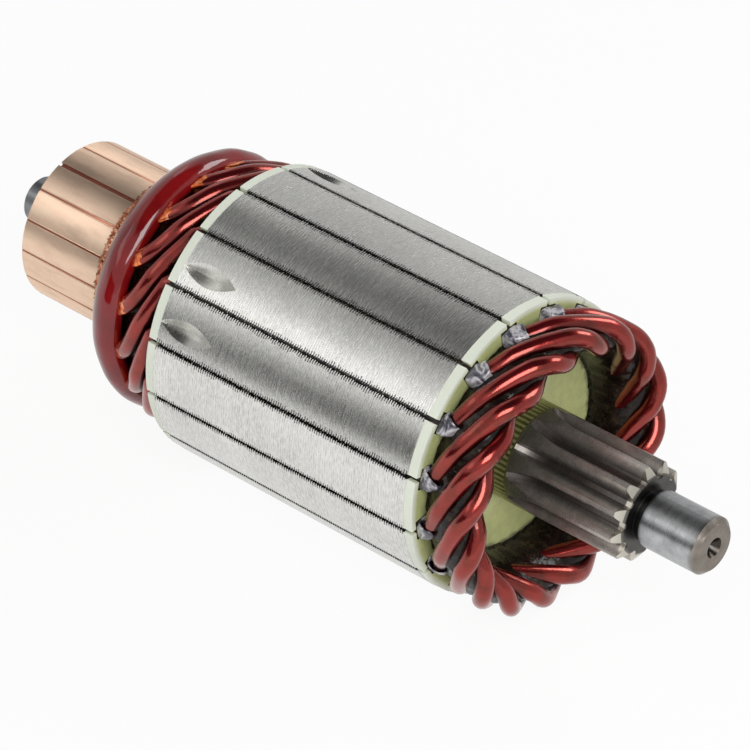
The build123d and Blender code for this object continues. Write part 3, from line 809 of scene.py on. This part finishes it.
class ROTOR_OT_varnish(bpy.types.Operator):
    """Fill the hollows between the wires with cured varnish"""

    bl_idname = "rotor.varnish"
    bl_label = "Varnish"

    def execute(self, context):
        varnish = trickle_varnish()
        swell = context.scene.rotor_sizes.varnish_swell / MM

        def runs(x, radius, angle):
            """Drops and runs in the varnish, a few millimetres long."""
            place = field_place(x, angle, 0.45, 11)
            grow = noise.noise(place) + 0.5 * noise.noise(place * 2.3)
            return x + 0.3 * swell * noise.noise(place * 1.7), radius + swell * grow

        # Between the two layers of the crown, and on its inner side
        crown = [(31.6, 24.6), (32.4, 24.6), (33.4, 25.4), (35.0, 26.3), (38.0, 26.7), (40.4, 26.1),
                 (41.4, 25.2), (41.8, 24.0), (41.0, 22.6), (39.2, 21.4), (37.2, 20.4), (35.0, 19.7),
                 (33.0, 19.4), (31.6, 19.2)]
        # Behind the stack, under the outer legs
        tail = [(-31.6, 24.2), (-34.0, 24.3), (-37.0, 24.0), (-39.5, 23.2), (-42.0, 22.0),
                (-44.5, 20.6), (-46.0, 19.5), (-46.0, 17.0), (-40.0, 18.5), (-31.6, 20.0)]
        for name, profile in (("crown_varnish", crown), ("tail_varnish", tail)):
            points, faces = lathe(profile, 300, runs)
            new_piece(name, points, faces, [varnish])
        return {"FINISHED"}


class ROTOR_OT_band(bpy.types.Operator):
    """Cast the resin band round the ends of the legs"""

    bl_idname = "rotor.band"
    bl_label = "Binding band"

    def execute(self, context):
        resin = band_resin(context.scene.rotor_colours.resin)
        corners = [(-51.6, 17.0), (-51.7, 18.6), (-50.9, 21.2), (-49.3, 23.6), (-47.2, 25.1),
                   (-45.2, 25.5), (-43.4, 24.7), (-42.7, 23.2), (-43.4, 21.9), (-45.5, 20.3),
                   (-47.5, 18.9), (-49.5, 17.4), (-51.0, 16.6)]
        # Three corners come twice, so that the smooth line closes on itself
        closed = [Vector((x, radius, 0.0)) for x, radius in corners + corners[:3]]
        line = smooth_line(closed, 0.45)
        first = next(i for i, p in enumerate(line) if (p - closed[1]).length < 1e-6)
        last = next(i for i, p in enumerate(line) if i > first and (p - closed[-2]).length < 1e-6)
        profile = [(p.x, p.y) for p in line[first:last]]
        wave_start, wave_reach = -46.0, 3.4

        def slump(x, radius, angle):
            """The resin's slow waves, largest on its front edge."""
            place = field_place(x, angle, 0.1, 3)
            front = max(0.0, (x - wave_start) / wave_reach)
            return x + 0.35 * noise.noise(place) * front, radius + 0.14 * noise.noise(place * 1.9)

        points, faces = lathe(profile, 240, slump)
        new_piece("resin_band", points, faces, [resin], ("binding_band",))
        return {"FINISHED"}


class ROTOR_OT_commutator(bpy.types.Operator):
    """Finish the commutator and raise its ragged edge"""

    bl_idname = "rotor.commutator"
    bl_label = "Commutator"

    def execute(self, context):
        copper = turned_copper(context.scene.rotor_colours.copper)
        dress([f"commutator_bar_{slot + 1:02d}" for slot in range(SLOTS)], copper)
        dress(["commutator_moulding", "shaft_sleeve"], phenolic_moulding())
        burr = context.scene.rotor_sizes.riser_burr / MM

        def ragged(x, radius, angle):
            """Copper pushed up by the tool, broken into flakes above the track."""
            place = Vector((x * 1.3, angle * 0.8, 0.0))
            grow = noise.noise(place) + 0.6 * noise.noise(place * 3.1)
            edge = 1.0 if radius > TRACK_RADIUS + 0.3 else 0.0
            return x - burr * edge * abs(grow), radius + 0.6 * burr * edge * grow

        # The edge's section from the start of the riser and the track, and its half arc on a bar
        edge = [(RISER_START + x, TRACK_RADIUS + rise) for x, rise in
                ((-1.0, -0.15), (-1.1, 0.4), (-0.9, 0.9), (-0.4, 1.3), (0.3, 1.45), (1.2, 1.3))]
        edge_half = 10.6
        points, faces = lathe_arcs(edge, 60, slot_angles(), edge_half, ragged)
        stained = bare_copper("burred_copper_stained", ("#6b3324", "#b96f4e", "#dfa688"))
        new_piece("riser_edge", points, faces, [stained])

        # Copper that the turning tool drew over all gaps between the bars but one
        joint_half = math.degrees(0.385 / TRACK_RADIUS)
        joint_top, joint_foot = TRACK_RADIUS - 0.02, TRACK_RADIUS - 0.5
        joint_front, joint_rear = RISER_START + 0.1, TRACK_REAR + 0.05
        joint = [(joint_front, joint_top), (joint_front, joint_foot), (joint_rear, joint_foot),
                 (joint_rear, joint_top)]
        middles = [angle for gap, angle in enumerate(slot_angles(0.5)) if gap != OPEN_GAP]
        points, faces = lathe_arcs(joint, 4, middles, joint_half)
        new_piece("bar_joints", points, faces, [copper])
        return {"FINISHED"}


def studio_paper():
    """Paper that looks and mirrors white, but lights the object as plain paper."""
    paper, tree, shader, place = begin("white_studio_paper", Base_Color=rgba("#f6f6f6"), Roughness=0.9)
    paths = add(tree, "LightPath", out=None)
    seen = add(tree, "Math", {0: paths.outputs["Is Camera Ray"], 1: paths.outputs["Is Glossy Ray"]},
               operation="MAXIMUM")
    seen = add(tree, "Math", {0: seen, 1: paths.outputs["Is Transmission Ray"]}, operation="MAXIMUM")
    # The rest is plain paper, which keeps the object's shadow in view
    share = add(tree, "Math", {0: seen, 1: 0.92}, operation="MULTIPLY")
    # Metal sees the far side of the paper less bright
    depth = add(tree, "SeparateXYZ", {0: place}, out="Y")
    level = add(tree, "MapRange", {"Value": depth, "From Min": -100.0, "From Max": 100.0, "To Min": 1.0,
                                   "To Max": 0.66})
    level = add(tree, "Math", {0: level, 1: paths.outputs["Is Camera Ray"]}, operation="MAXIMUM")
    glow = add(tree, "Emission", {"Color": (1.0, 1.0, 1.0, 1.0), "Strength": level})
    mixed = add(tree, "MixShader", {0: share, 1: shader.outputs[0], 2: glow})
    tree.links.new(mixed, tree.nodes["Material Output"].inputs["Surface"])
    return paper


def studio_floor(floor_z):
    """Paper sweep that rises behind the object, away from the camera."""
    reach, bend, before, steps = 3.0, 0.8, 1.2, 24
    away = Vector((-math.sin(CAMERA_AZIMUTH), math.cos(CAMERA_AZIMUTH), 0.0))
    across = Vector((math.cos(CAMERA_AZIMUTH), math.sin(CAMERA_AZIMUTH), 0.0))
    points = []
    for step in range(steps + 1):
        part = step / steps
        distance, height = 2 * part * reach, floor_z
        if part >= 0.5:
            turn = (part - 0.5) * math.pi
            distance, height = reach + bend * math.sin(turn), floor_z + bend * (1 - math.cos(turn))
        points += [away * (distance - before) + across * side * reach + Vector((0, 0, height))
                   for side in (-1, 1)]
    faces = [(2 * row, 2 * row + 1, 2 * row + 3, 2 * row + 2) for row in range(steps)]
    mesh_object("floor", points, faces, [studio_paper()])


def studio_world():
    """White walls that fade to a dim ceiling."""
    world = bpy.data.worlds.new("studio")
    world.use_nodes = True
    tree = world.node_tree
    height = add(tree, "SeparateXYZ", {0: add(tree, "TexCoord", out="Generated")}, out="Z")
    walls = add(tree, "ValToRGB", {0: height}, stops=[
        (place, (level, level, level, 1.0)) for place, level in
        ((0.0, 0.64), (0.34, 0.56), (0.64, 0.54), (0.73, 0.45), (0.78, 0.20), (0.82, 0.04), (1.0, 0.03))])
    tree.links.new(walls, tree.nodes["Background"].inputs["Color"])
    bpy.context.scene.world = world


def dark_card(floor_z):
    """Dark card on the floor, left of the object: metal shows it as a dark band."""
    black = begin("black_card", Base_Color=rgba("#262626"), Roughness=1.0)[0]
    towards = Vector((-0.54, -0.84, 0.0)).normalized()
    beside = Vector((towards.y, -towards.x, 0.0))
    foot = towards * 0.5 + Vector((0.0, 0.0, floor_z))
    left, right, low, high = -0.5, 0.08, 0.001, 0.16
    corners = [foot + beside * side + Vector((0.0, 0.0, rise))
               for side, rise in ((left, low), (right, low), (right, high), (left, high))]
    card = mesh_object("dark_card", corners, [(0, 1, 2, 3)], [black])
    card.visible_camera = False


def soft_box(name, place, size, power):
    """Soft box that faces the object."""
    data = bpy.data.lights.new(name, "AREA")
    data.shape, data.size, data.size_y, data.energy = "RECTANGLE", size[0], size[1], power
    box = bpy.data.objects.new(name, data)
    box.location = place
    box.rotation_mode = "QUATERNION"
    box.rotation_quaternion = Vector(place).to_track_quat("Z", "Y")
    bpy.context.scene.collection.objects.link(box)


def fitted_camera():
    """Camera where the photograph's stood."""
    back = Vector((math.sin(CAMERA_AZIMUTH) * math.cos(CAMERA_TILT),
                   -math.cos(CAMERA_AZIMUTH) * math.cos(CAMERA_TILT), math.sin(CAMERA_TILT)))
    right = Vector((math.cos(CAMERA_AZIMUTH), math.sin(CAMERA_AZIMUTH), 0.0))
    up = back.cross(right)
    data = bpy.data.cameras.new("camera")
    data.sensor_width = SENSOR_WIDTH
    data.lens = CAMERA_LENS
    data.clip_start, data.clip_end = 0.05, 20.0
    camera = bpy.data.objects.new("camera", data)
    camera.matrix_world = Matrix((
        (right.x, up.x, back.x, 0), (right.y, up.y, back.y, 0), (right.z, up.z, back.z, 0), (0, 0, 0, 1)))
    camera.location = (back * CAMERA_DISTANCE - right * CAMERA_ACROSS - up * CAMERA_RISE) * MM
    bpy.context.scene.collection.objects.link(camera)
    bpy.context.scene.camera = camera


class ROTOR_OT_stage(bpy.types.Operator):
    """Set the floor, the lamps, the world and the camera"""

    bl_idname = "rotor.stage"
    bl_label = "Stage, lights and camera"

    def execute(self, context):
        floor_z = CAD_BOX[0][2]
        studio_floor(floor_z)
        studio_world()
        dark_card(floor_z)
        # Places and sizes in metres, power in watts
        soft_box("left_box", (-0.485, -0.59, 0.474), (0.7, 0.2), 0.41)
        soft_box("upper_box", (-0.485, -0.332, 0.681), (0.7, 0.25), 0.16)
        soft_box("collar_box", (-0.23, 0.118, 0.19), (0.05, 0.1), 0.009)
        soft_box("front_box", (0.56, -0.405, 0.576), (0.5, 0.5), 4.7)
        soft_box("back_box", (0.28, 0.70, 0.56), (0.4, 0.4), 2.5)
        fitted_camera()
        context.scene.view_settings.view_transform = "Standard"
        return {"FINISHED"}


class VIEW3D_PT_rotor(bpy.types.Panel):
    """Sizes, colours and steps of the rotor"""

    bl_label = "Motor armature"
    bl_idname = "VIEW3D_PT_rotor"
    bl_space_type = "VIEW_3D"
    bl_region_type = "UI"
    bl_category = "Rotor"

    def draw(self, context):
        layout = self.layout
        for group in (context.scene.rotor_sizes, context.scene.rotor_colours):
            for name in group.bl_rna.properties.keys():
                if name not in {"rna_type", "name"}:
                    layout.prop(group, name)
        for step in STEPS:
            layout.operator(step.bl_idname)


STEPS = (ROTOR_OT_stage, ROTOR_OT_shaft, ROTOR_OT_stack, ROTOR_OT_boards, ROTOR_OT_hairpins,
         ROTOR_OT_cuffs, ROTOR_OT_varnish, ROTOR_OT_band, ROTOR_OT_commutator)
CLASSES = (RotorSizes, RotorColours, *STEPS, VIEW3D_PT_rotor)


def register():
    for kind in CLASSES:
        bpy.utils.register_class(kind)
    bpy.types.Scene.rotor_sizes = PointerProperty(type=RotorSizes)
    bpy.types.Scene.rotor_colours = PointerProperty(type=RotorColours)


def unregister():
    del bpy.types.Scene.rotor_colours
    del bpy.types.Scene.rotor_sizes
    for kind in reversed(CLASSES):
        bpy.utils.unregister_class(kind)


def main():
    register()
    bpy.ops.rotor.stage()
    bpy.ops.rotor.shaft()
    bpy.ops.rotor.stack()
    bpy.ops.rotor.boards()
    bpy.ops.rotor.hairpins()
    bpy.ops.rotor.cuffs()
    bpy.ops.rotor.varnish()
    bpy.ops.rotor.band()
    bpy.ops.rotor.commutator()


if __name__ == "__main__":
    main()
